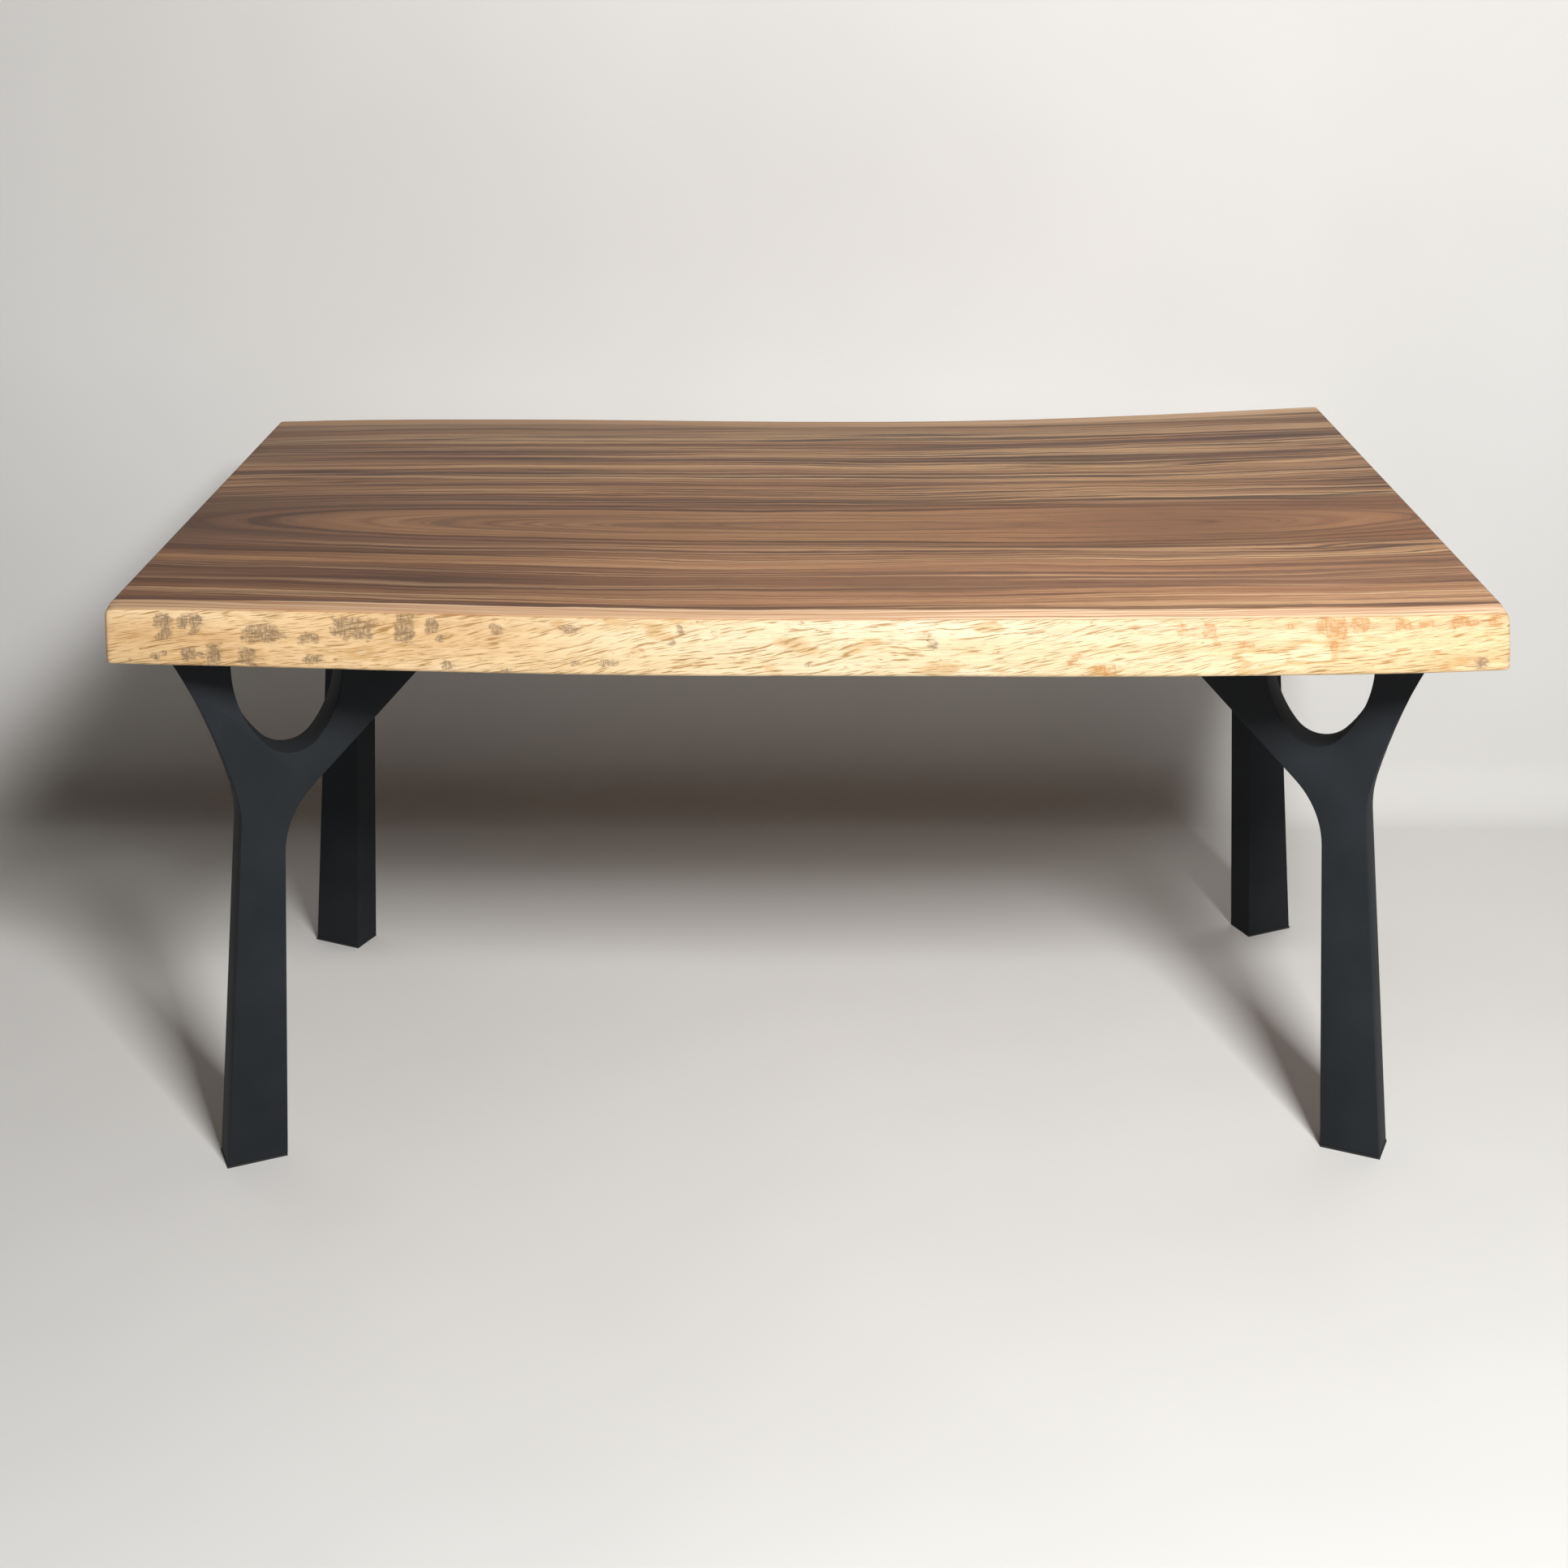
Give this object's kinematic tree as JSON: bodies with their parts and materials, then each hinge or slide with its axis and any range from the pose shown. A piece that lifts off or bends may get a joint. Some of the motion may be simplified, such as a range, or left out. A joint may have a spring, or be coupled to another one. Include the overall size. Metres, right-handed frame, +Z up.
{
  "type": "live edge dining table",
  "caption": "Dining table with a solid live-edge wood slab on forked, box-section steel legs set towards the corners and bolted up through slotted plates.",
  "frame": {"origin": "on the floor, under the middle of the slab's outline box", "axes": "+X along the slab's length to its wider end, +Y from the front live edge to the back one, +Z up"},
  "size_m": [1.6, 1.0729, 0.759],
  "materials": {
    "slab_wood": "satin oil",
    "leg_powder_coat": "matt",
    "foot_rubber": "matt",
    "black_steel": "black oxide",
    "sleeve_brass": "plain"
  },
  "bodies": {
    "root": {"live_edge_slab": "slab_wood", "front_left_leg_front_plate": "leg_powder_coat", "front_left_leg_back_plate": "leg_powder_coat", "front_left_leg_outer_edge": "leg_powder_coat", "front_left_leg_fork_edge": "leg_powder_coat", "front_left_leg_inner_edge": "leg_powder_coat", "front_left_leg_foot_plate": "leg_powder_coat", "front_left_leg_top_plate": "leg_powder_coat", "front_left_leg_foot_pad": "foot_rubber", "front_left_leg_bolts": "black_steel", "front_left_leg_washers": "black_steel", "front_left_leg_sleeves": "sleeve_brass", "front_right_leg_front_plate": "leg_powder_coat", "front_right_leg_back_plate": "leg_powder_coat", "front_right_leg_outer_edge": "leg_powder_coat", "front_right_leg_fork_edge": "leg_powder_coat", "front_right_leg_inner_edge": "leg_powder_coat", "front_right_leg_foot_plate": "leg_powder_coat", "front_right_leg_top_plate": "leg_powder_coat", "front_right_leg_foot_pad": "foot_rubber", "front_right_leg_bolts": "black_steel", "front_right_leg_washers": "black_steel", "front_right_leg_sleeves": "sleeve_brass", "rear_left_leg_front_plate": "leg_powder_coat", "rear_left_leg_back_plate": "leg_powder_coat", "rear_left_leg_outer_edge": "leg_powder_coat", "rear_left_leg_fork_edge": "leg_powder_coat", "rear_left_leg_inner_edge": "leg_powder_coat", "rear_left_leg_foot_plate": "leg_powder_coat", "rear_left_leg_top_plate": "leg_powder_coat", "rear_left_leg_foot_pad": "foot_rubber", "rear_left_leg_bolts": "black_steel", "rear_left_leg_washers": "black_steel", "rear_left_leg_sleeves": "sleeve_brass", "rear_right_leg_front_plate": "leg_powder_coat", "rear_right_leg_back_plate": "leg_powder_coat", "rear_right_leg_outer_edge": "leg_powder_coat", "rear_right_leg_fork_edge": "leg_powder_coat", "rear_right_leg_inner_edge": "leg_powder_coat", "rear_right_leg_foot_plate": "leg_powder_coat", "rear_right_leg_top_plate": "leg_powder_coat", "rear_right_leg_foot_pad": "foot_rubber", "rear_right_leg_bolts": "black_steel", "rear_right_leg_washers": "black_steel", "rear_right_leg_sleeves": "sleeve_brass", "left_underside_channel": "leg_powder_coat", "left_channel_screws": "black_steel", "right_underside_channel": "leg_powder_coat", "right_channel_screws": "black_steel"}
  },
  "joints": []
}
